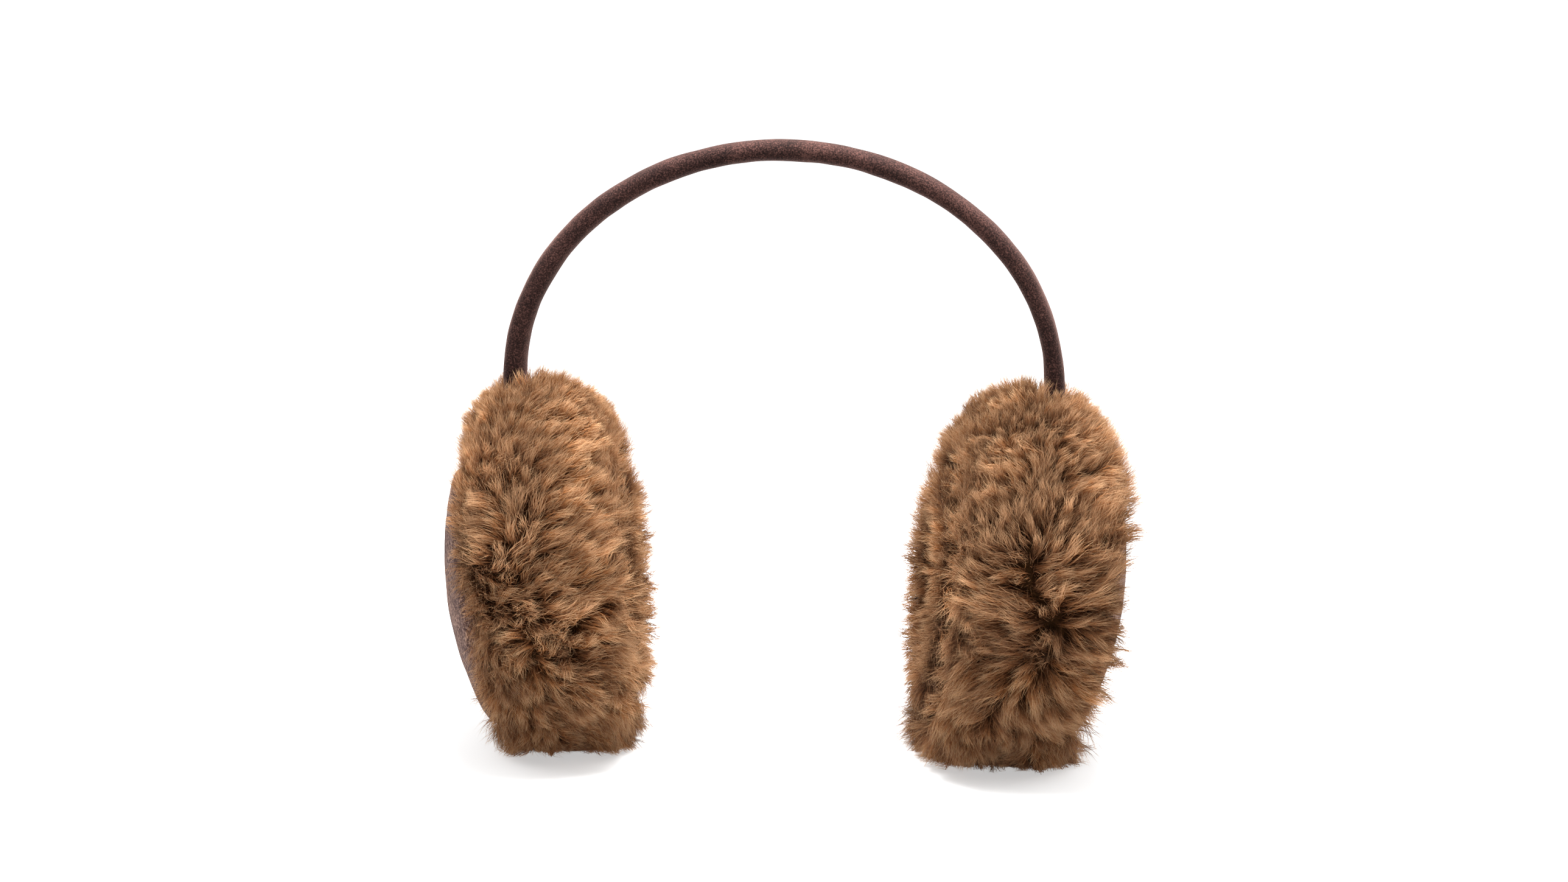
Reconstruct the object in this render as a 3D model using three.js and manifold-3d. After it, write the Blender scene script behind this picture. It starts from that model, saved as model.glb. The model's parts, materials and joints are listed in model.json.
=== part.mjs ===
// Fur earmuffs: two deep fur muffs on one velvet-covered spring headband, standing on a flat surface.
// Millimetres, +Z up, the muffs at -X and +X, the wearer's face towards -Y.
// The origin is under the middle of the object, on the surface that it stands on.
// Each muff is a fat fur ring with a domed cap on its outer side and a smaller fur ring, with a hollow
// for the ear, on its inner side. The legs of the headband run down inside the muffs.
import * as THREE from 'three';
import { mergeVertices } from 'three/addons/utils/BufferGeometryUtils.js';
import Module from 'manifold-3d';

const GAP = 0.3; // kept between pieces that meet

// Headband: half an ellipse, with straight legs below its ends.
const ARCH_HALF_WIDTH = 85.7; // to the middle of the band
const ARCH_HEIGHT = 73;
const ARCH_SPRING_Z = 118; // where the arch turns into the legs
const LEG_END_Z = 50; // inside the muffs
const BAND_DEPTH = 11; // front to back
const BAND_STEPS = 60;
const BAND_SIDES = 12;
const BAND_SQUARENESS = 2.5; // exponent of the rounded section, 2 is an ellipse
// Thickness of the padded band from the left leg's end (0) to the right leg's end (1).
const BAND_THICKNESS = [
  { share: 0.0, thick: 7.2 },
  { share: 0.25, thick: 7.0 },
  { share: 0.5, thick: 6.7 },
  { share: 0.66, thick: 6.3 },
  { share: 0.78, thick: 5.8 },
  { share: 0.84, thick: 6.4 },
  { share: 1.0, thick: 6.4 },
];

// Muff: placed by the middle of its core, which the fur stands round, higher above than below.
const CORE_X = 73;
const CORE_Z = 49.5;
const CAP_EXTRA_TILT = THREE.MathUtils.degToRad(2.5);
const PAD_EXTRA_TILT = THREE.MathUtils.degToRad(-2.5);
// Both muffs are turned a little on the band, their tops lean outwards (tilt), and the weight spreads
// the fur at the bottom (splay, a share of its thickness). Phase places the soft lumps of the pile.
const SIDES = [
  { name: 'left', outward: Math.PI, yaw: 4.5, tilt: 6.2, splay: 0.02, phase: 0.4 },
  { name: 'right', outward: 0, yaw: 9.5, tilt: 8, splay: 0.16, phase: 2.3 },
];

// Fur ring: a round disc with a superellipse edge, which droops below the core less than it rises.
const FUR_RADIUS = 60.5;
const FUR_RISE = 7; // middle of the fur above the middle of the core
const FUR_OUTER = 25; // along the muff's axis, from the middle of the core
const FUR_INNER = -25.5;
const FUR_EDGE = 27.5; // radial share of the disc that rounds off
const FUR_SQUARENESS = 2.35;
// Soft lumps of the pile: waves round the edge that also lean along the muff's axis.
const FUR_LUMPS = [
  { around: 5, along: 11, height: 0.9, turn: 1 },
  { around: 9, along: -7, height: 0.45, turn: -2 },
];
const FUR_AROUND = 40;
const FUR_ACROSS = 14;

// Cap: a padded dome with a rolled edge, set in a round seat.
const CAP_SEAT = 21;
const CAP_RADIUS = 41.5;
const CAP_EDGE = 4.6; // thickness at the rolled edge
const CAP_ROLL = 1.6; // radius of the roll
const CAP_RISE = 8.6; // of the dome above the edge
const CAP_STEPS = 5;

// Ear pad: a fur ring with a hollow in its middle, in a seat with a flared mouth.
const PAD_SEAT = -12.5;
const PAD_RADIUS = 38;
const PAD_CORNER = 1.5; // bevel where the wall meets the flat back
const PAD_FLARE_START = 6; // depth of the straight part of the seat
const PAD_FLARE = 6; // widening of the mouth, over twice that depth
const PAD_SECTION = [ // from the outer wall over the crest and down into the hollow
  { radius: 38, height: 1.8 },
  { radius: 38, height: 9 },
  { radius: 36.3, height: 12.8 },
  { radius: 33, height: 15 },
  { radius: 29.5, height: 15.5 },
  { radius: 25.5, height: 14 },
  { radius: 22, height: 10 },
  { radius: 18.5, height: 6.2 },
  { radius: 13, height: 4.3 },
  { radius: 0, height: 4 },
];
const PAD_STEPS = 13;
const ROUND_SIDES = 36; // of the caps, pads and their seats

const VELVET = new THREE.MeshStandardMaterial({ color: 0x3a2521, roughness: 0.95, metalness: 0 });
const SUEDE = new THREE.MeshStandardMaterial({ color: 0x4d3530, roughness: 0.9, metalness: 0 });
const FUR = new THREE.MeshStandardMaterial({ color: 0x83573a, roughness: 1, metalness: 0 });

const wasm = await Module();
wasm.setup();

// --- closed meshes to solids and back -------------------------------------------------------------

function toSolid(geometry, matrix) {
  const bare = geometry.clone();
  bare.deleteAttribute('normal');
  bare.deleteAttribute('uv');
  if (matrix) bare.applyMatrix4(matrix);
  const merged = mergeVertices(bare, 1e-4);
  const corners = merged.index.array;
  const kept = [];
  for (let i = 0; i < corners.length; i += 3) {
    const [a, b, c] = [corners[i], corners[i + 1], corners[i + 2]];
    if (a !== b && b !== c && c !== a) kept.push(a, b, c);
  }
  const mesh = new wasm.Mesh({
    numProp: 3,
    vertProperties: new Float32Array(merged.attributes.position.array),
    triVerts: new Uint32Array(kept),
  });
  return new wasm.Manifold(mesh);
}

function toGeometry(solid) {
  const mesh = solid.getMesh();
  const geometry = new THREE.BufferGeometry();
  geometry.setAttribute('position', new THREE.BufferAttribute(mesh.vertProperties, 3));
  geometry.setIndex(new THREE.BufferAttribute(mesh.triVerts, 1));
  geometry.computeVertexNormals();
  return geometry;
}

// A profile of (radius, height along the axis) turned round the X axis, its heights towards +X.
function turned(profile, around) {
  return new THREE.LatheGeometry(profile, around).rotateZ(-Math.PI / 2);
}

// --- headband -------------------------------------------------------------------------------------

class BandPath extends THREE.Curve {
  constructor() {
    super();
    this.leg = ARCH_SPRING_Z - LEG_END_Z;
    this.arch = Math.PI * Math.sqrt((ARCH_HALF_WIDTH ** 2 + ARCH_HEIGHT ** 2) / 2);
    this.whole = 2 * this.leg + this.arch;
  }

  getPoint(t, target = new THREE.Vector3()) {
    const way = t * this.whole;
    if (way < this.leg) return target.set(-ARCH_HALF_WIDTH, 0, LEG_END_Z + way);
    if (way > this.leg + this.arch) return target.set(ARCH_HALF_WIDTH, 0, LEG_END_Z + this.whole - way);
    const turn = Math.PI * (way - this.leg) / this.arch;
    return target.set(-ARCH_HALF_WIDTH * Math.cos(turn), 0, ARCH_SPRING_Z + ARCH_HEIGHT * Math.sin(turn));
  }
}

function thicknessAt(share) {
  const next = BAND_THICKNESS.findIndex((row) => row.share >= share);
  if (next <= 0) return BAND_THICKNESS[0].thick;
  const [low, high] = [BAND_THICKNESS[next - 1], BAND_THICKNESS[next]];
  return THREE.MathUtils.mapLinear(share, low.share, high.share, low.thick, high.thick);
}

// The band is swept 1 mm thick, then each point is moved out from the middle of the band.
function bandGeometry(extra) {
  const section = new THREE.Shape();
  for (let i = 0; i < BAND_SIDES; i += 1) {
    const angle = 2 * Math.PI * (i + 0.5) / BAND_SIDES;
    const [c, s] = [Math.cos(angle), Math.sin(angle)];
    const across = Math.sign(c) * Math.abs(c) ** (2 / BAND_SQUARENESS) * (BAND_DEPTH / 2 + extra);
    const radial = Math.sign(s) * Math.abs(s) ** (2 / BAND_SQUARENESS) / 2;
    if (i === 0) section.moveTo(across, radial);
    else section.lineTo(across, radial);
  }
  const path = new BandPath();
  const geometry = new THREE.ExtrudeGeometry(section, { steps: BAND_STEPS, extrudePath: path });
  const position = geometry.attributes.position;
  const point = new THREE.Vector3();
  const middle = new THREE.Vector3();
  for (let i = 0; i < position.count; i += 1) {
    point.fromBufferAttribute(position, i);
    const turn = Math.atan2((point.z - ARCH_SPRING_Z) / ARCH_HEIGHT, -point.x / ARCH_HALF_WIDTH);
    const onArch = point.z > ARCH_SPRING_Z;
    const legWay = point.z - LEG_END_Z;
    let way = point.x < 0 ? legWay : path.whole - legWay;
    if (onArch) way = path.leg + path.arch * turn / Math.PI;
    const share = THREE.MathUtils.clamp(way / path.whole, 0, 1);
    path.getPoint(share, middle);
    middle.y = point.y;
    if (!onArch) middle.z = point.z;
    point.sub(middle).multiplyScalar(thicknessAt(share) + 2 * extra).add(middle);
    position.setXYZ(i, point.x, point.y, point.z);
  }
  return geometry;
}

// --- muffs ----------------------------------------------------------------------------------------

function furForm(phase, splay) {
  const halfThick = (FUR_OUTER - FUR_INNER) / 2;
  const middle = (FUR_OUTER + FUR_INNER) / 2;
  const flatRadius = FUR_RADIUS - FUR_EDGE;
  const power = 2 / FUR_SQUARENESS;
  const profile = [new THREE.Vector2(0, FUR_INNER)];
  for (let i = 0; i <= FUR_ACROSS; i += 1) {
    const angle = Math.PI * (i / FUR_ACROSS - 0.5);
    const along = Math.sign(Math.sin(angle)) * Math.abs(Math.sin(angle)) ** power;
    const out = Math.max(Math.cos(angle), 0) ** power;
    profile.push(new THREE.Vector2(flatRadius + FUR_EDGE * out, middle + halfThick * along));
  }
  profile.push(new THREE.Vector2(0, FUR_OUTER));
  const geometry = turned(profile, FUR_AROUND);
  const position = geometry.attributes.position;
  for (let i = 0; i < position.count; i += 1) {
    const [x, y, z] = [position.getX(i), position.getY(i), position.getZ(i)];
    const radius = Math.hypot(y, z);
    if (radius < flatRadius) continue;
    const angle = Math.atan2(y, z);
    let lump = 0;
    for (const { around, along, height, turn } of FUR_LUMPS) {
      lump += height * Math.sin(around * angle + turn * phase + x / along);
    }
    const grow = 1 + lump / radius;
    const pressed = THREE.MathUtils.smoothstep(-z, FUR_RADIUS / 2, FUR_RADIUS);
    position.setXYZ(i, x * grow * (1 + splay * pressed), y * grow, z * grow);
  }
  return geometry.translate(0, 0, FUR_RISE);
}

// Flat back, rolled edge and dome.
function capProfile() {
  const roll = CAP_RADIUS - CAP_ROLL;
  const profile = [
    new THREE.Vector2(0, GAP),
    new THREE.Vector2(roll, GAP),
    new THREE.Vector2(CAP_RADIUS, GAP + CAP_ROLL),
    new THREE.Vector2(CAP_RADIUS, CAP_EDGE - CAP_ROLL),
    new THREE.Vector2(CAP_RADIUS - CAP_ROLL / 3, CAP_EDGE - CAP_ROLL / 4),
  ];
  const domeRadius = (CAP_RADIUS ** 2 + CAP_RISE ** 2) / (2 * CAP_RISE);
  const domeMiddle = CAP_EDGE + CAP_RISE - domeRadius;
  for (let i = CAP_STEPS; i >= 0; i -= 1) {
    const radius = roll * i / CAP_STEPS;
    profile.push(new THREE.Vector2(radius, domeMiddle + Math.sqrt(domeRadius ** 2 - radius ** 2)));
  }
  return profile;
}

// The seat runs straight out of the fur.
function capSeatProfile() {
  const rim = CAP_RADIUS + GAP;
  return [
    new THREE.Vector2(0, 0),
    new THREE.Vector2(rim, 0),
    new THREE.Vector2(rim, FUR_RADIUS),
    new THREE.Vector2(0, FUR_RADIUS),
  ];
}

function padProfile() {
  const points = PAD_SECTION.map((row) => new THREE.Vector2(row.radius, row.height));
  const curve = new THREE.SplineCurve(points);
  const profile = [new THREE.Vector2(0, GAP), new THREE.Vector2(PAD_RADIUS - PAD_CORNER, GAP)];
  for (const point of curve.getSpacedPoints(PAD_STEPS)) {
    profile.push(new THREE.Vector2(Math.min(Math.max(point.x, 0), PAD_RADIUS), point.y));
  }
  profile.at(-1).x = 0;
  return profile;
}

function padSeatProfile() {
  const rim = PAD_RADIUS + GAP;
  return [
    new THREE.Vector2(0, 0),
    new THREE.Vector2(rim, 0),
    new THREE.Vector2(rim, PAD_FLARE_START),
    new THREE.Vector2(rim + PAD_FLARE, PAD_FLARE_START + 2 * PAD_FLARE),
    new THREE.Vector2(rim + PAD_FLARE, FUR_RADIUS),
    new THREE.Vector2(0, FUR_RADIUS),
  ];
}

function named(name, geometry, material) {
  const mesh = new THREE.Mesh(geometry, material);
  mesh.name = name;
  return mesh;
}

function muff(side, bandHole) {
  const group = new THREE.Group();
  const [tilt, yaw] = [side.tilt, side.yaw].map(THREE.MathUtils.degToRad);
  group.rotation.set(0, tilt, side.outward + yaw, 'ZYX');
  group.position.set(CORE_X * Math.cos(side.outward), 0, CORE_Z);

  const capPlace = new THREE.Group();
  capPlace.position.x = CAP_SEAT;
  capPlace.rotation.y = CAP_EXTRA_TILT;
  const padPlace = new THREE.Group();
  padPlace.position.x = PAD_SEAT;
  padPlace.rotation.set(0, PAD_EXTRA_TILT, Math.PI);
  group.add(capPlace, padPlace);
  group.updateMatrixWorld(true);
  capPlace.updateMatrix();
  padPlace.updateMatrix();

  const intoMuff = group.matrixWorld.clone().invert();
  const floor = new THREE.BoxGeometry(4 * FUR_RADIUS, 4 * FUR_RADIUS, FUR_RADIUS);
  floor.translate(group.position.x, 0, -FUR_RADIUS / 2);
  const rim = toSolid(furForm(side.phase, side.splay))
    .subtract(toSolid(turned(capSeatProfile(), ROUND_SIDES), capPlace.matrix))
    .subtract(toSolid(turned(padSeatProfile(), ROUND_SIDES), padPlace.matrix))
    .subtract(toSolid(bandHole, intoMuff))
    .subtract(toSolid(floor, intoMuff));
  group.add(named(`${side.name}_fur_rim`, toGeometry(rim), FUR));
  capPlace.add(named(`${side.name}_cap`, turned(capProfile(), ROUND_SIDES), SUEDE));
  padPlace.add(named(`${side.name}_ear_pad`, turned(padProfile(), ROUND_SIDES), FUR));
  return group;
}

const earmuffs = new THREE.Group();
earmuffs.add(named('headband', bandGeometry(0), VELVET));
const bandHole = bandGeometry(GAP).translate(0, 0, -GAP);
for (const side of SIDES) earmuffs.add(muff(side, bandHole));
const middle = new THREE.Box3().setFromObject(earmuffs, true).getCenter(new THREE.Vector3());
earmuffs.position.set(-middle.x, -middle.y, 0);

export default earmuffs;
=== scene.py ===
import json
import math

import bpy
import numpy as np
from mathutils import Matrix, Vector, noise
from mathutils.bvhtree import BVHTree
from mathutils.kdtree import KDTree

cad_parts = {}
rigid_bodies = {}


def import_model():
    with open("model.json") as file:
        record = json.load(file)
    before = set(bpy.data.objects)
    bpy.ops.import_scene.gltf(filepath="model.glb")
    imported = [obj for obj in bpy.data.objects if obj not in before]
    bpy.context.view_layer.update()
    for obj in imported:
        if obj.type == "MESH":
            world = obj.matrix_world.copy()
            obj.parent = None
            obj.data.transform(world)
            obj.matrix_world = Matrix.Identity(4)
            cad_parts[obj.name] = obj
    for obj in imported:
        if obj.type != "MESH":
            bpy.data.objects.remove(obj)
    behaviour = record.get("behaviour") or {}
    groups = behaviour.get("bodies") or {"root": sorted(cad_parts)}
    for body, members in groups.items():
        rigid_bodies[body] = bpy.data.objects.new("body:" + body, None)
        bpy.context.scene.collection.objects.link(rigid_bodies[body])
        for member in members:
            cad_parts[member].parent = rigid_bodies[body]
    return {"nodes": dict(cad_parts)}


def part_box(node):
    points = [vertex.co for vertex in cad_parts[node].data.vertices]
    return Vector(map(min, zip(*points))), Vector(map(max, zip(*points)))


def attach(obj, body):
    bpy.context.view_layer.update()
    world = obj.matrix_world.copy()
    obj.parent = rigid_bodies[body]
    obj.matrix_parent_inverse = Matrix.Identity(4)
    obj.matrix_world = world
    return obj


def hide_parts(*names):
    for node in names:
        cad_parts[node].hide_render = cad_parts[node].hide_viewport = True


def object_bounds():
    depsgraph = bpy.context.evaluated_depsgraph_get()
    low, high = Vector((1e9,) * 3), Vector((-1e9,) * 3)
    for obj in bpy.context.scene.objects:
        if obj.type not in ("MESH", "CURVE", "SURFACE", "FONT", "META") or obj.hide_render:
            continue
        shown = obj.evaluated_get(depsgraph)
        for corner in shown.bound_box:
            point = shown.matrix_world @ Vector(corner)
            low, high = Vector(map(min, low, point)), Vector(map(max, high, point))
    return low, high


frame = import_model()
cad_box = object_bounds()

# --- Headband ---------------------------------------------------------------------------------------
# One padded spring band, bent into an arch, in a tight sleeve of very dark brown velvet. Its two legs
# run down into the fur. The nap is short and dense: dark where it is seen straight on, paler and redder
# where it is seen edge on.

MM = 0.001
SLEEVE_SWELL = 0.2 * MM
SLEEVE_WAVES = [(14 * MM, 0.25 * MM), (5 * MM, 0.1 * MM)]
SLEEVE_ROUNDING = 2
WELD = 0.01 * MM


def pick_only(*objects):
    """Selects these objects alone, the first one active."""
    for other in bpy.context.view_layer.objects:
        other.select_set(False)
    for chosen in objects:
        chosen.select_set(True)
    bpy.context.view_layer.objects.active = objects[0]


def copy_of_node(node, name):
    """A CAD node's mesh as a new object, its loose triangles joined into one skin."""
    source = frame["nodes"][node]
    piece = bpy.data.objects.new(name, source.data.copy())
    piece.data.materials.clear()
    bpy.context.scene.collection.objects.link(piece)
    pick_only(piece)
    bpy.ops.object.mode_set(mode="EDIT")
    bpy.ops.mesh.select_all(action="SELECT")
    bpy.ops.mesh.remove_doubles(threshold=WELD)
    bpy.ops.mesh.normals_make_consistent(inside=False)
    bpy.ops.object.mode_set(mode="OBJECT")
    return piece


def with_modifier(piece, kind, **settings):
    """Puts one modifier on a piece and applies it."""
    pick_only(piece)
    modifier = piece.modifiers.new(kind.title(), kind)
    for key, value in settings.items():
        setattr(modifier, key, value)
    bpy.ops.object.modifier_apply(modifier=modifier.name)


def points_of(piece):
    """All vertex places and normals of a piece, as arrays."""
    count = len(piece.data.vertices)
    places, normals = np.empty(count * 3), np.empty(count * 3)
    piece.data.vertices.foreach_get("co", places)
    piece.data.vertices.foreach_get("normal", normals)
    return places.reshape(-1, 3), normals.reshape(-1, 3)


def rumple(piece, waves, swell=0):
    """Moves a piece's skin out by swell, and in and out by noise given as (size, height) pairs."""
    places, normals = points_of(piece)
    shift = swell + sum(
        height * np.array([noise.noise(Vector(place) / size) for place in places])
        for size, height in waves
    )
    piece.data.vertices.foreach_set("co", (places + normals * shift[:, None]).ravel())
    piece.data.update()


def dress(piece, finish, node):
    """Smooths a padded piece, gives it its finish, and lets it stand for its CAD node."""
    pick_only(piece)
    bpy.ops.object.shade_smooth()
    piece.data.materials.append(finish)
    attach(piece, "root")
    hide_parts(node)


class Wire:
    """An output socket. Sums and products of wires and numbers add Math nodes."""

    def __init__(self, board, socket):
        self.board = board
        self.socket = socket

    def _with(self, operation, other):
        return self.board.node("ShaderNodeMath", {"operation": operation}, {0: self, 1: other})

    def __add__(self, other):
        return self._with("ADD", other)

    def __mul__(self, other):
        return self._with("MULTIPLY", other)

    __radd__ = __add__
    __rmul__ = __mul__


class Board:
    """The nodes of a finish or of the room."""

    def __init__(self, tree):
        self.tree = tree

    def node(self, kind, settings=None, inputs=None, output=0):
        """Adds a node, sets it, feeds its sockets with values or wires, and returns one output."""
        made = self.tree.nodes.new(kind)
        for key, value in (settings or {}).items():
            if key == "stops":
                self.set_stops(made.color_ramp, value)
            else:
                setattr(made, key, value)
        for socket, value in (inputs or {}).items():
            self.feed(made.inputs[socket], value)
        return Wire(self, made.outputs[output])

    def feed(self, socket, value):
        if isinstance(value, Wire):
            self.tree.links.new(value.socket, socket)
        else:
            socket.default_value = value

    @staticmethod
    def set_stops(ramp, stops):
        while len(ramp.elements) < len(stops):
            ramp.elements.new(0.5)
        for element, (place, colour) in zip(ramp.elements, stops):
            element.position = place
            element.color = (*colour, 1)


class Finish(Board):
    """A material with one Principled shader, whose fixed values are set on its own sockets."""

    def __init__(self, name, fixed):
        self.material = bpy.data.materials.new(name)
        self.material.use_nodes = True
        super().__init__(self.material.node_tree)
        self.shader = self.tree.nodes["Principled BSDF"]
        for socket, value in fixed.items():
            self.feed(self.shader.inputs[socket], value)

    def place(self):
        return self.node("ShaderNodeTexCoord", output="Object")

    def noise(self, place, scale, detail=2.0, rough=0.5):
        inputs = {"Vector": place, "Scale": scale, "Detail": detail, "Roughness": rough}
        return self.node("ShaderNodeTexNoise", inputs=inputs, output="Fac")

    def ramp(self, value, stops):
        return self.node("ShaderNodeValToRGB", {"stops": stops}, {0: value})

    def tinted(self, colour, tint):
        settings = {"data_type": "RGBA", "blend_type": "MULTIPLY"}
        return self.node("ShaderNodeMix", settings, {0: 1.0, 6: colour, 7: tint}, output=2)

    def bump(self, height, strength, distance):
        inputs = {"Height": height, "Strength": strength, "Distance": distance}
        self.feed(self.shader.inputs["Normal"], self.node("ShaderNodeBump", inputs=inputs))

    def colour(self, value):
        self.feed(self.shader.inputs["Base Color"], value)


def velvet():
    """Speckled nap: short fibres, darker between them, with broad brushed patches."""
    fixed = {
        "Roughness": 0.92,
        "Specular IOR Level": 0.12,
        "Sheen Weight": 0.28,
        "Sheen Roughness": 0.34,
        "Sheen Tint": (0.62, 0.36, 0.31, 1),
    }
    finish = Finish("velvet", fixed)
    place = finish.place()
    nap = finish.noise(place, 2100, detail=3, rough=0.65)
    brushed = finish.noise(place, 90, detail=2)
    stops = [
        (0.36, (0.005, 0.0021, 0.0018)),
        (0.50, (0.020, 0.0085, 0.0070)),
        (0.66, (0.086, 0.039, 0.032)),
    ]
    finish.colour(finish.ramp(nap * 0.8 + brushed * 0.22, stops))
    finish.bump(nap, 0.55, 0.35 * MM)
    return finish.material


band = copy_of_node("headband", "headband_sleeve")
bpy.ops.object.mode_set(mode="EDIT")
bpy.ops.mesh.tris_convert_to_quads()
bpy.ops.object.mode_set(mode="OBJECT")
with_modifier(band, "SUBSURF", levels=SLEEVE_ROUNDING, render_levels=SLEEVE_ROUNDING)
rumple(band, SLEEVE_WAVES, swell=SLEEVE_SWELL)
dress(band, velvet(), "headband")

# --- Caps -------------------------------------------------------------------------------------------
# A padded dome of dark purple-brown suede cloth on the outer side of each muff, with a rolled edge
# that is tucked into the fur. Its nap is brushed into faint patches, paler where it is worn.

CAP_GRID = 1.3 * MM
CAP_WAVES = [(11 * MM, 0.3 * MM)]


def suede():
    fixed = {
        "Roughness": 0.95,
        "Specular IOR Level": 0.1,
        "Sheen Weight": 0.09,
        "Sheen Roughness": 0.5,
        "Sheen Tint": (0.6, 0.40, 0.38, 1),
    }
    finish = Finish("suede", fixed)
    place = finish.place()
    nap = finish.noise(place, 1000, detail=4, rough=0.7)
    brushed = finish.noise(place, 60, detail=3)
    stops = [
        (0.40, (0.018, 0.0085, 0.0078)),
        (0.50, (0.075, 0.040, 0.0320)),
        (0.62, (0.270, 0.170, 0.127)),
    ]
    finish.colour(finish.ramp(nap * 0.78 + brushed * 0.22, stops))
    finish.bump(nap, 0.5, 0.4 * MM)
    return finish.material


def disc_axis(piece):
    """Middle of a round, flat piece, and the direction through it that points out of the muff pair."""
    places, _ = points_of(piece)
    middle = places.mean(axis=0)
    _, _, spans = np.linalg.svd(places - middle, full_matrices=False)
    thin = spans[2]
    return Vector(middle), Vector(thin * np.sign(thin[0] * middle[0]))


def skin_of(piece):
    return BVHTree.FromPolygons(
        [v.co for v in piece.data.vertices], [p.vertices for p in piece.data.polygons]
    )


suede_finish = suede()
caps = {}
for side in ("left", "right"):
    cap = copy_of_node(f"{side}_cap", f"{side}_suede_cap")
    with_modifier(cap, "REMESH", mode="VOXEL", voxel_size=CAP_GRID)
    with_modifier(cap, "SMOOTH", factor=0.5, iterations=4)
    rumple(cap, CAP_WAVES)
    dress(cap, suede_finish, f"{side}_cap")
    caps[side] = cap

# --- Backing of the fur -----------------------------------------------------------------------------
# The stuffed ring and the ear pad of each muff under their pile: dense dark underwool with a fine
# bumpy nap. It lies a few millimetres below the outer form of the fur, and keeps the seats of
# the cap, the pad and the band as they are.

ROOT_DEPTH = {"rim": 3.6 * MM, "pad": 2.4 * MM}
BACKING_GRID = 1.9 * MM
PRESSED_BELOW = 14 * MM
LEAST_SHARE = 0.15
RIM_SKIN = 1.6 * MM
PAD_SEAT = 3.2 * MM
ENTRY_SLICE = 4 * MM


def underwool():
    finish = Finish("underwool", {"Roughness": 1.0, "Specular IOR Level": 0.05})
    place = finish.place()
    fibre = finish.noise(place, 1300, detail=3, rough=0.7)
    patch = finish.noise(place, 130, detail=2)
    stops = [
        (0.30, (0.012, 0.005, 0.002)),
        (0.55, (0.055, 0.024, 0.009)),
        (0.80, (0.130, 0.062, 0.026)),
    ]
    finish.colour(finish.ramp(fibre * 0.6 + patch * 0.4, stops))
    finish.bump(fibre, 0.9, 0.8 * MM)
    return finish.material


def outer_form(piece):
    """The skin of a piece with its seats and holes stretched over."""
    form = bpy.data.objects.new("form", piece.data.copy())
    bpy.context.scene.collection.objects.link(form)
    pick_only(form)
    bpy.ops.object.mode_set(mode="EDIT")
    bpy.ops.mesh.select_all(action="SELECT")
    bpy.ops.mesh.convex_hull()
    bpy.ops.object.mode_set(mode="OBJECT")
    skin = skin_of(form)
    bpy.data.objects.remove(form)
    return skin


def backing(node, name, depth, shown):
    """A remeshed copy of a fur solid, its shown faces sunk by the depth of the pile."""
    piece = copy_of_node(node, name)
    test = shown(piece)
    with_modifier(piece, "REMESH", mode="VOXEL", voxel_size=BACKING_GRID)
    furred = np.array([test(vertex.co) for vertex in piece.data.vertices])
    places, normals = points_of(piece)
    sunk = depth * furred * np.clip(places[:, 2] / PRESSED_BELOW, LEAST_SHARE, 1)
    piece.data.vertices.foreach_set("co", (places - normals * sunk[:, None]).ravel())
    piece.data.update()
    return piece, furred


def rim_shown(piece):
    form = outer_form(piece)

    def test(place):
        return form.find_nearest(place)[3] < RIM_SKIN

    return test


def pad_shown(axis):
    """The pad's pile stands on all but its flat back, inside its seat."""

    def make(piece):
        back = (points_of(piece)[0] @ axis).max()

        def test(place):
            return place.dot(axis) < back - PAD_SEAT

        return test

    return make


def band_entry(side, top):
    """Where the band's leg goes into the fur."""
    places, _ = points_of(band)
    near_top = np.abs(places[:, 2] - top) < ENTRY_SLICE
    own_side = (places[:, 0] > 0) == (side == "right")
    return places[near_top & own_side].mean(axis=0)


underwool_finish = underwool()
muffs = {}
for side in ("left", "right"):
    _, cap_axis = disc_axis(frame["nodes"][f"{side}_cap"])
    pad_middle, pad_axis = disc_axis(frame["nodes"][f"{side}_ear_pad"])
    rim, rim_furred = backing(f"{side}_fur_rim", f"{side}_rim_backing", ROOT_DEPTH["rim"], rim_shown)
    pad, pad_furred = backing(
        f"{side}_ear_pad", f"{side}_pad_backing", ROOT_DEPTH["pad"], pad_shown(pad_axis)
    )
    dress(rim, underwool_finish, f"{side}_fur_rim")
    dress(pad, underwool_finish, f"{side}_ear_pad")
    low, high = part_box(f"{side}_fur_rim")
    muffs[side] = {
        "rim": (rim, rim_furred),
        "pad": (pad, pad_furred),
        "axis": np.array((cap_axis + pad_axis).normalized()),
        "pad_axis": np.array(pad_axis),
        "pad_middle": np.array(pad_middle),
        "middle": np.array((Vector(low) + Vector(high)) / 2),
        "band_entry": band_entry(side, high[2]),
        "top": high[2],
    }

# --- Pile -------------------------------------------------------------------------------------------
# The deep fur: fine wavy hairs that lie over each other in loose locks, dark at the root and tan at the
# tip, with a shorter fuzz between them. The locks part along the crown of each muff, sweep towards its
# two faces, rise at the top and droop below, and are pressed aside where the muff stands on them.

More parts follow.
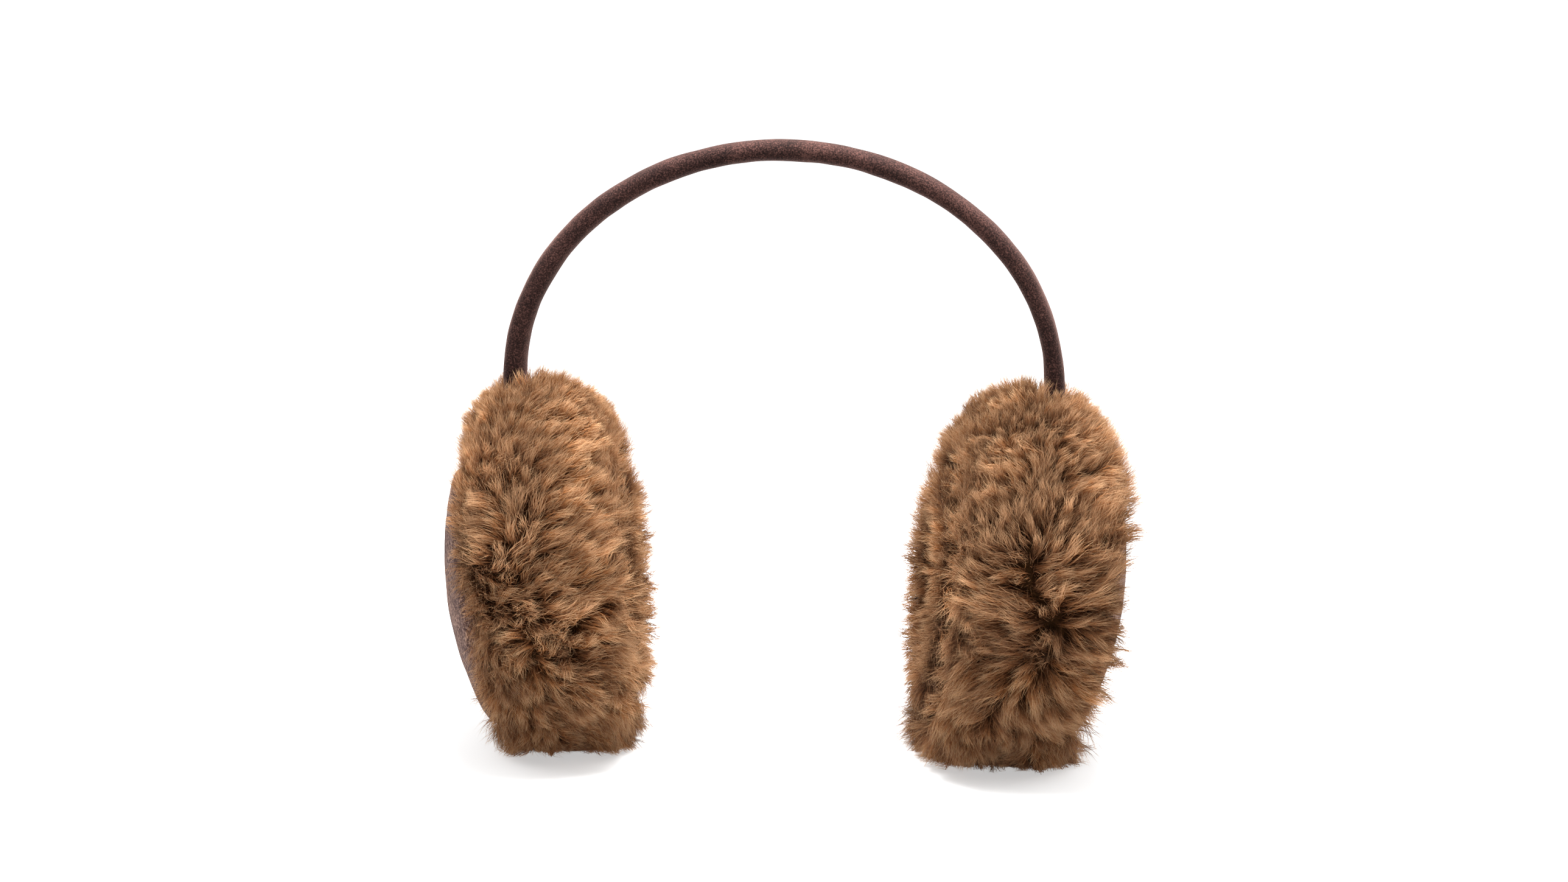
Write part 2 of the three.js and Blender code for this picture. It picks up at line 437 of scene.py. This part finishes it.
PILE = {
    "rim": {
        "hairs": 62000, "fuzz": 60000, "long": 13.0 * MM, "short": 7.5 * MM,
        "gap": 2.3 * MM, "tries": 26000, "slot": "fur",
    },
    "pad": {
        "hairs": 11000, "fuzz": 9000, "long": 8.4 * MM, "short": 4.6 * MM,
        "gap": 2.4 * MM, "tries": 4000, "slot": "pad_fur",
    },
}
FORMS = {
    "hairs": {"steps": (0.0, 0.36, 0.7, 1.0), "gather": 1.0, "curl": 1.5 * MM, "stray": 0.29},
    "fuzz": {"steps": (0.0, 0.55, 1.0), "gather": 0.4, "curl": 0.8 * MM, "stray": 0.40},
}
PARTING = {"left": 9 * MM, "right": 0.5 * MM}
# Base tone of each muff's pile; the right muff's lower value is painted shade, for the weaker light on it
LIGHTNESS_AND_PAINTED_SHADE = {"left": 0.31, "right": 0.16}
OUTWARD = {"left": -0.12, "right": 0.3}
HAIR_WIDTH = 0.09 * MM  # half of a hair's width at its widest
HAIR_TAPER = [1.0, 0.75]
ROOT_SUNK = 0.4 * MM
FLOOR_CLEAR = 0.25 * MM
PROUD = 12.5 * MM  # the furthest that the pile stands out of the whole object's box
# How near a hair comes to the cap or the band, and how far inside it may have been
SKIN_CLEAR = {"least": 0.3 * MM, "set": 0.35 * MM, "deepest": 9 * MM, "margin": 0.5 * MM}
# Over what reach the pile changes near the floor, the top, the faces and the band
SPREAD = {
    "foot": 32 * MM, "crown_from": 75 * MM, "crown": 30 * MM, "outer": 22 * MM,
    "edge_from": 2 * MM, "edge": 18 * MM, "band": 8 * MM,
}
# How the pile lies: where it parts and wanders, how strongly it is drawn each way, and its lean
RIM_LIE = {
    "wander": 20 * MM, "shift": 17 * MM, "parting": 12 * MM, "even_below": 10 * MM, "rise": 45 * MM,
    "droop_most": -0.8, "rise_most": 0.6, "upward": 0.7, "outward": 0.9, "full": 0.9, "least": 0.6,
    "lean": 0.84, "lean_away": 0.20,
}
RIM_SWIRLS = [(15 * MM, 0.55, (3, 7, 11)), (6 * MM, 0.5, (5, 1, 2))]
PAD_LIE = {"swirl": 9 * MM, "swirled": 0.9, "outward": 0.8, "lean": 0.75}
HAIR_LENGTHS = (0.7, 1.12)
HAIR_BEND = {"height": 0.5, "gather": 0.4, "waves": 0.8}
STRAYS = {"share": 0.08, "more": 2.5}
HAIR_SPREAD = {"turn": 0.6, "tone": 0.09, "roll": 0.3}
LOCK_SPREAD = {"lean": 0.18, "size": (0.75, 1.15), "gather": (0.4, 0.85), "tone": 0.13}
# How far locks change in lean, size and tone at the floor, the top, the faces and the band.
# The tone made lighter at the faces and the top and darker at the foot is painted light and shade.
LOCK_LEAN = {"foot": 0.25, "top": -0.30, "top_outer": 0.15, "band": 0.3}
LOCK_SIZE = {"foot": 0.65, "top": 0.26, "top_edge": 0.24, "band": 0.25, "under": 0.4, "under_from": -0.8}
# patches is random tone; faces and height are painted light and shade: lighter faces and top, darker foot
LOCK_TONE_AND_PAINTED_LIGHT = {"patch": 12 * MM, "patches": 0.3, "faces": 0.14, "height": 0.22}
SEEDS = {"locks": 5, "left": 41, "right": 83}
noise.seed_set(SEEDS["locks"])  # the locks then lie the same way each time


def pile():
    """Root to tip runs along V of the hair's own map, and U gives each hair its tone: random, with
    painted light on the faces and top and painted shade at the foot and on the right muff.
    """
    finish = Finish("pile", {"Roughness": 0.75, "Specular IOR Level": 0.12})
    hair_map = finish.node("ShaderNodeUVMap", {"uv_map": "OFBake"})
    tone = finish.node("ShaderNodeSeparateXYZ", inputs={0: hair_map}, output="X")
    along = Wire(finish, tone.socket.node.outputs["Y"])
    length = finish.ramp(along, [
        (0.0, (0.020, 0.0055, 0.0012)),
        (0.35, (0.080, 0.0265, 0.0072)),
        (0.70, (0.275, 0.110, 0.037)),
        (1.0, (0.880, 0.590, 0.345)),
    ])
    # The tone, with its painted light and shade, scales each hair's colour
    shade = finish.ramp(tone, [
        (0.0, (0.40, 0.36, 0.34)),
        (0.5, (0.95, 0.93, 0.90)),
        (1.0, (1.50, 1.48, 1.40)),
    ])
    finish.colour(finish.tinted(length, shade))
    hair = Wire(finish, finish.shader.outputs[0])
    glow = finish.node("ShaderNodeBsdfTranslucent", inputs={"Color": (0.58, 0.34, 0.185, 1)})
    lit = finish.node("ShaderNodeMixShader", inputs={0: along * along * 0.42, 1: hair, 2: glow})
    finish.feed(finish.tree.nodes["Material Output"].inputs["Surface"], lit)
    return finish.material


def unit(vectors):
    return vectors / np.maximum(np.linalg.norm(vectors, axis=-1, keepdims=True), 1e-12)


def dot(first, second):
    return (first * second).sum(axis=-1, keepdims=True)


def across(vectors, normals):
    """The part of each vector that lies along the surface."""
    return vectors - normals * dot(vectors, normals)


def scatter(piece, furred, count, rng):
    """Random even points on the furred faces of a piece: places and smooth normals."""
    mesh = piece.data
    mesh.calc_loop_triangles()
    corners = np.empty(len(mesh.loop_triangles) * 3, dtype=np.int64)
    mesh.loop_triangles.foreach_get("vertices", corners)
    corners = corners.reshape(-1, 3)
    corners = corners[furred[corners].all(axis=1)]
    places, normals = points_of(piece)
    a, b, c = (places[corners[:, i]] for i in range(3))
    area = np.linalg.norm(np.cross(b - a, c - a), axis=1)
    chosen = rng.choice(len(corners), count, p=area / area.sum())
    first, second = rng.random((2, count, 1))
    flip = first + second > 1
    first, second = np.where(flip, 1 - first, first), np.where(flip, 1 - second, second)
    shares = (1 - first - second, first, second)
    place = sum(s * places[corners[chosen, i]] for i, s in enumerate(shares))
    normal = sum(s * normals[corners[chosen, i]] for i, s in enumerate(shares))
    return place, unit(normal)


def thin_out(places, gap):
    """Indices of points that stand at least a gap apart."""
    cells = {}
    kept = []
    for index, place in enumerate(places):
        cell = tuple(int(v) for v in np.floor(place / gap))
        near = [
            cells.get((cell[0] + i, cell[1] + j, cell[2] + k), ())
            for i in (-1, 0, 1) for j in (-1, 0, 1) for k in (-1, 0, 1)
        ]
        if all(np.sum((places[other] - place) ** 2) >= gap**2 for group in near for other in group):
            cells.setdefault(cell, []).append(index)
            kept.append(index)
    return np.array(kept)


def soft_noise(places, size, shift):
    """Smooth random vectors, alike for places closer than size."""
    return np.array([noise.noise_vector(Vector(p) / size + Vector(shift)) for p in places])


def rim_flow(places, normals, muff, side):
    """Direction and lean with which the pile of the rim lies."""
    axis = muff["axis"]
    rel = places - muff["middle"]
    along = rel @ axis
    radial = unit(rel - along[:, None] * axis)
    lie = RIM_LIE
    wander = soft_noise(places, lie["wander"], (2, 8, 6)) * lie["shift"]
    away = np.tanh((along - PARTING[side] - wander[:, 0]) / lie["parting"])[:, None]
    up = np.array((0, 0, 1.0))
    rise = (rel[:, 2:] + lie["even_below"] + wander[:, 1:2]) / lie["rise"]
    rise = np.clip(rise, lie["droop_most"], lie["rise_most"])
    facing = np.abs(normals @ axis)[:, None]
    flow = across(axis * away, normals) + across(up * rise, normals) * lie["upward"]
    flow += across(radial, normals) * lie["outward"] * facing
    swirl = sum(soft_noise(places, size, shift) * amount for size, amount, shift in RIM_SWIRLS)
    flow += across(swirl, normals)
    pull = np.clip(np.linalg.norm(flow, axis=1, keepdims=True) / lie["full"], lie["least"], 1)
    lean = (lie["lean"] + lie["lean_away"] * np.abs(away)) * pull
    return unit(flow), lean


def pad_flow(places, normals, muff, side):
    """The pile of the pad spreads from its crest, out to the rim and in to the hollow."""
    axis = muff["pad_axis"]
    rel = places - muff["pad_middle"]
    radial = unit(rel - (rel @ axis)[:, None] * axis)
    lie = PAD_LIE
    swirl = soft_noise(places, lie["swirl"], (3, 7, 11)) * lie["swirled"]
    flow = across(radial, normals) * lie["outward"] + across(swirl, normals)
    return unit(flow + 1e-6), lie["lean"]


def hair_paths(roots, normals, locks, rng, form):
    """The points along each hair, which bends over and gathers towards its lock's tip."""
    tree = KDTree(len(locks["root"]))
    for index, place in enumerate(locks["root"]):
        tree.insert(place, index)
    tree.balance()
    own = np.array([tree.find(place)[1] for place in roots])
    count = len(roots)
    length = form["length"] * rng.uniform(*HAIR_LENGTHS, (count, 1)) * locks["size"][own]
    stray = form["stray"] * np.where(rng.random((count, 1)) < STRAYS["share"], STRAYS["more"], 1.0)
    flow = unit(across(locks["flow"][own], normals) + rng.normal(0, 1, (count, 3)) * stray)
    lean = locks["lean"][own] + rng.normal(0, 1, (count, 1)) * stray
    heading = normals * np.cos(lean) + flow * np.sin(lean)
    gather = locks["gather"][own] * form["gather"] * rng.uniform(0.6, 1.0, (count, 1))
    tips = roots + heading * length
    tips = tips + (locks["tip"][own] - tips) * gather
    bends = roots + normals * length * HAIR_BEND["height"]
    bends = bends + (locks["root"][own] - roots) * gather * HAIR_BEND["gather"]
    side = np.cross(normals, flow)
    turn = locks["phase"][own] + rng.normal(0, HAIR_SPREAD["turn"], (count, 1))
    paths = []
    for t in form["steps"]:
        point = (1 - t) ** 2 * roots + 2 * t * (1 - t) * bends + t**2 * tips
        wave = np.sin(2 * math.pi * HAIR_BEND["waves"] * t + turn) * t * form["curl"]
        paths.append(point + side * wave)
    paths = np.stack(paths, axis=1)
    tone = locks["tone"][own] + rng.normal(0, HAIR_SPREAD["tone"], (count, 1))
    return paths, np.clip(tone[:, 0], 0.02, 0.98)


def trimmed(paths):
    """Hairs cut shorter where they would stand more than PROUD out of the whole object's form."""
    low, high = np.array(cad_box[0]) - PROUD, np.array(cad_box[1]) + PROUD
    reach = paths - paths[:, :1]
    room = np.where(reach > 0, high - paths[:, :1], paths[:, :1] - low)
    share = (room / np.maximum(np.abs(reach), 1e-9)).min(axis=(1, 2))
    return paths[:, :1] + reach * np.clip(share, 0, 1)[:, None, None]


def settle(paths, skins):
    """Lifts hairs out of the floor and off the caps and the band that they touch."""
    low = FLOOR_CLEAR * (1 + 3 * np.linspace(0, 1, paths.shape[1]))[None, :]
    low = low + (np.arange(len(paths)) % 7)[:, None] * 0.12 * MM
    paths[:, 1:, 2] = np.maximum(paths[:, 1:, 2], low[:, 1:])
    for skin, box_low, box_high in skins:
        inside = ((paths > box_low) & (paths < box_high)).all(axis=-1)
        for hair, step in zip(*np.nonzero(inside)):
            place = Vector(paths[hair, step])
            near, normal, _, far = skin.find_nearest(place)
            if far < SKIN_CLEAR["deepest"] and (place - near).dot(normal) < SKIN_CLEAR["least"]:
                paths[hair, step] = near + normal * SKIN_CLEAR["set"]
    return paths


def hair_mesh(paths, steps, normals, tone, rng):
    """Thin flat hairs, pointed at both ends, turned a little about their own length."""
    count, points, _ = paths.shape
    rings = points - 2
    ahead = unit(paths[:, 2:] - paths[:, :-2])
    side = unit(np.cross(ahead, normals[:, None, :]))
    roll = rng.normal(0, HAIR_SPREAD["roll"], (count, 1, 1))
    side = side * np.cos(roll) + np.cross(ahead, side) * np.sin(roll)
    half = side * HAIR_WIDTH * np.array(HAIR_TAPER[:rings])[None, :, None]
    middle = paths[:, 1:-1]
    ring = np.stack([middle - half, middle + half], axis=2).reshape(count, 2 * rings, 3)
    verts = np.concatenate([paths[:, :1], ring, paths[:, -1:]], axis=1)
    per_hair = 2 + 2 * rings
    faces = [(0, 2, 1)]
    for first in range(1, 2 * rings - 1, 2):
        faces += [(first, first + 1, first + 3), (first, first + 3, first + 2)]
    faces.append((per_hair - 3, per_hair - 2, per_hair - 1))
    faces = (np.array(faces)[None] + (np.arange(count) * per_hair)[:, None, None]).reshape(-1, 3)
    along = np.concatenate([[steps[0]], np.repeat(steps[1:-1], 2), [steps[-1]]])
    spread = np.concatenate([[0], np.tile([-0.012, 0.012], rings), [0]])
    u = (tone[:, None] + spread[None, :]).reshape(-1)
    v = np.broadcast_to(along, (count, per_hair)).reshape(-1)
    return verts.reshape(-1, 3), faces, np.stack([u, v], axis=1)


def hair_piece(name, parts, finish):
    """Joins groups of hairs into one piece with a map of their own."""
    offset, verts, faces, maps = 0, [], [], []
    for part_verts, part_faces, part_map in parts:
        verts.append(part_verts)
        faces.append(part_faces + offset)
        maps.append(part_map)
        offset += len(part_verts)
    verts, faces, maps = (np.concatenate(group) for group in (verts, faces, maps))
    mesh = bpy.data.meshes.new(name)
    mesh.vertices.add(len(verts))
    mesh.vertices.foreach_set("co", verts.ravel())
    mesh.loops.add(faces.size)
    mesh.loops.foreach_set("vertex_index", faces.ravel())
    mesh.polygons.add(len(faces))
    mesh.polygons.foreach_set("loop_start", np.arange(len(faces)) * 3)
    layer = mesh.uv_layers.new(name="OFBake")
    layer.data.foreach_set("uv", maps[faces.ravel()].ravel())
    mesh.polygons.foreach_set("use_smooth", np.ones(len(faces), dtype=bool))
    mesh.update(calc_edges=True)
    mesh.validate()
    piece = bpy.data.objects.new(name, mesh)
    bpy.context.scene.collection.objects.link(piece)
    mesh.materials.append(finish)
    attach(piece, "root")
    return piece


def comb(part, side, muff, rng):
    """The locks of one piece: where each roots, how it lies, its size, its tone and how tight it is."""
    sizes = PILE[part]
    places, normals = scatter(*muff[part], sizes["tries"], rng)
    kept = thin_out(places, sizes["gap"])
    root, normal = places[kept], normals[kept]
    flow, lean = (rim_flow if part == "rim" else pad_flow)(root, normal, muff, side)
    lean = lean + rng.normal(0, LOCK_SPREAD["lean"], (len(kept), 1))
    low = np.clip(root[:, 2:] / SPREAD["foot"], 0, 1)
    high = np.clip((root[:, 2:] - SPREAD["crown_from"]) / SPREAD["crown"], 0, 1)
    along = ((root - muff["middle"]) @ muff["axis"])[:, None]
    outer = np.clip(along / SPREAD["outer"], 0, 1)
    edge = np.clip(np.abs(along - SPREAD["edge_from"]) / SPREAD["edge"], 0, 1)
    faces = np.tanh((along / SPREAD["edge"]) ** 2)
    reach = root - muff["band_entry"]
    pushed = np.exp(-np.sum(reach**2, axis=1, keepdims=True) / SPREAD["band"] ** 2)
    flow = unit(flow + across(unit(reach), normal) * pushed)
    lean = lean * (1 - LOCK_LEAN["band"] * pushed)
    lean = lean + (LOCK_LEAN["top"] + LOCK_LEAN["top_outer"] * outer) * high
    lean = lean + LOCK_LEAN["foot"] * (1 - low)
    size = rng.uniform(*LOCK_SPREAD["size"], (len(kept), 1))
    size = size * (1 - LOCK_SIZE["foot"] * (1 - np.maximum(low, edge)))
    size = size * (1 + OUTWARD[side] * outer)
    size = size * (1 - LOCK_SIZE["band"] * pushed)
    size = size * (1 - high * (LOCK_SIZE["top"] + LOCK_SIZE["top_edge"] * edge))
    size = size * np.where(normal[:, 2:] < LOCK_SIZE["under_from"], LOCK_SIZE["under"], 1)
    heading = normal * np.cos(lean) + flow * np.sin(lean)
    gather = rng.uniform(*LOCK_SPREAD["gather"], (len(kept), 1))
    phase = rng.uniform(0, 2 * math.pi, (len(kept), 1))
    patches = soft_noise(root, LOCK_TONE_AND_PAINTED_LIGHT["patch"], (9, 4, 1))[:, :1]
    # Base tone per muff (darker right muff: painted shade), random patches, and painted light on the
    # faces
    tone = LIGHTNESS_AND_PAINTED_SHADE[side] + LOCK_TONE_AND_PAINTED_LIGHT["patches"] * patches + LOCK_TONE_AND_PAINTED_LIGHT["faces"] * faces
    # Painted light and shade: the pile is lighter towards the top and darker towards the floor
    tone = tone + LOCK_TONE_AND_PAINTED_LIGHT["height"] * (root[:, 2:] / muff["top"] - 0.5)
    tone = tone + rng.normal(0, LOCK_SPREAD["tone"], (len(kept), 1))
    return {
        "root": root,
        "flow": flow,
        "lean": lean,
        "size": size,
        "tip": root + heading * sizes["long"] * size,
        "gather": gather,
        "phase": phase,
        "tone": tone,
    }


pile_finish = pile()
for side, muff in muffs.items():
    skins = []
    for piece in (caps[side], band):
        places, _ = points_of(piece)
        margin = SKIN_CLEAR["margin"]
        skins.append((skin_of(piece), places.min(axis=0) - margin, places.max(axis=0) + margin))
    for part, sizes in PILE.items():
        rng = np.random.default_rng(SEEDS[side])
        locks = comb(part, side, muff, rng)
        groups = {"_front": [], "_back": []} if part == "rim" else {"": []}
        for kind, length in (("hairs", sizes["long"]), ("fuzz", sizes["short"])):
            form = {**FORMS[kind], "length": length}
            roots, normals = scatter(*muff[part], sizes[kind], rng)
            roots = roots - normals * ROOT_SUNK
            paths, tone = hair_paths(roots, normals, locks, rng, form)
            paths = settle(trimmed(paths), skins)
            front = roots[:, 1] < muff["middle"][1]
            shares = {"_front": front, "_back": ~front, "": np.ones(len(roots), dtype=bool)}
            for ending, group in groups.items():
                own = shares[ending]
                group.append(hair_mesh(paths[own], form["steps"], normals[own], tone[own], rng))
        for ending, group in groups.items():
            hair_piece(f"{side}_{part}_pile{ending}", group, pile_finish)

# --- Room -------------------------------------------------------------------------------------------
# A white table lit from below, as for small goods, a white room that is brighter behind the object,
# and soft lamps above it, between the muffs and to both sides.

TABLE_SIZE = 12
TABLE_GRAIN = [(0.0, (0.63,) * 3), (1.0, (0.65,) * 3)]
WHITE = (1, 1, 1, 1)
ROOM_LIGHT = {"From Min": -0.7, "From Max": 0.5, "To Min": 0.06, "To Max": 1.10}

bpy.ops.mesh.primitive_plane_add(size=TABLE_SIZE, location=(0, 0, 0))
floor = bpy.context.object
floor.name = "table"
table_light = {
    "Roughness": 0.9,
    "Specular IOR Level": 0.1,
    "Emission Color": WHITE,
    "Emission Strength": 0.5,
}
floor_finish = Finish("table_white", table_light)
floor_grain = floor_finish.noise(floor_finish.place(), 40)
floor_finish.colour(floor_finish.ramp(floor_grain, TABLE_GRAIN))
floor.data.materials.append(floor_finish.material)

world = bpy.data.worlds.new("room")
bpy.context.scene.world = world
world.use_nodes = True
room = Board(world.node_tree)
cast = room.tree.nodes["Background"]
where = room.node("ShaderNodeTexCoord", output="Generated")
depth = room.node("ShaderNodeSeparateXYZ", inputs={0: where}, output="Y")
room.feed(cast.inputs["Color"], WHITE)
room.feed(cast.inputs["Strength"], room.node("ShaderNodeMapRange", inputs={"Value": depth, **ROOM_LIGHT}))
seen = room.node("ShaderNodeBackground", inputs={"Color": WHITE, "Strength": 1.0})
straight = room.node("ShaderNodeLightPath", output="Is Camera Ray")
backdrop = room.node("ShaderNodeMixShader", inputs={0: straight, 1: Wire(room, cast.outputs[0]), 2: seen})
room.feed(room.tree.nodes["World Output"].inputs["Surface"], backdrop)

AIM = Vector((-0.0001, 0, 0.0987))
LAMPS = [
    {"name": "overhead", "from": (0.1, 0.0, 1.5), "spread": 90, "power": 1.55},
    {"name": "between", "from": (0.02, -0.03, 0.5), "size": 0.25, "power": 7.5},
    {"name": "left_side", "from": (-0.8, 0.3, 0.5), "size": 0.6, "power": 3.5},
    {"name": "right_side", "from": (0.8, 0.3, 0.5), "size": 0.6, "power": 3.5},
]
for lamp in LAMPS:
    light = bpy.data.lights.new(lamp["name"], "AREA" if "size" in lamp else "SUN")
    if "size" in lamp:
        light.size = lamp["size"]
    else:
        light.angle = math.radians(lamp["spread"])
    light.energy = lamp["power"]
    holder = bpy.data.objects.new(lamp["name"], light)
    holder.location = lamp["from"]
    holder.rotation_euler = (AIM - Vector(lamp["from"])).to_track_quat("-Z", "Y").to_euler()
    holder.visible_camera = False
    bpy.context.scene.collection.objects.link(holder)

VIEW = {"azimuth": 5.0, "elevation": 9.3, "distance": 1.2, "roll": 0.5, "lens": 86.9}
camera_data = bpy.data.cameras.new("camera")
camera_data.sensor_width = 36
camera_data.lens = VIEW["lens"]
camera_data.clip_start = 0.05
camera = bpy.data.objects.new("camera", camera_data)
bpy.context.scene.collection.objects.link(camera)
azimuth, elevation = math.radians(VIEW["azimuth"]), math.radians(VIEW["elevation"])
back = Vector((
    math.sin(azimuth) * math.cos(elevation),
    -math.cos(azimuth) * math.cos(elevation),
    math.sin(elevation),
))
camera.location = AIM + back * VIEW["distance"]
turn = back.to_track_quat("Z", "Y").to_matrix().to_4x4()
camera.rotation_euler = turn.to_euler()
camera.rotation_euler.rotate_axis("Z", math.radians(VIEW["roll"]))
bpy.context.scene.camera = camera
bpy.context.scene.view_settings.view_transform = "Standard"
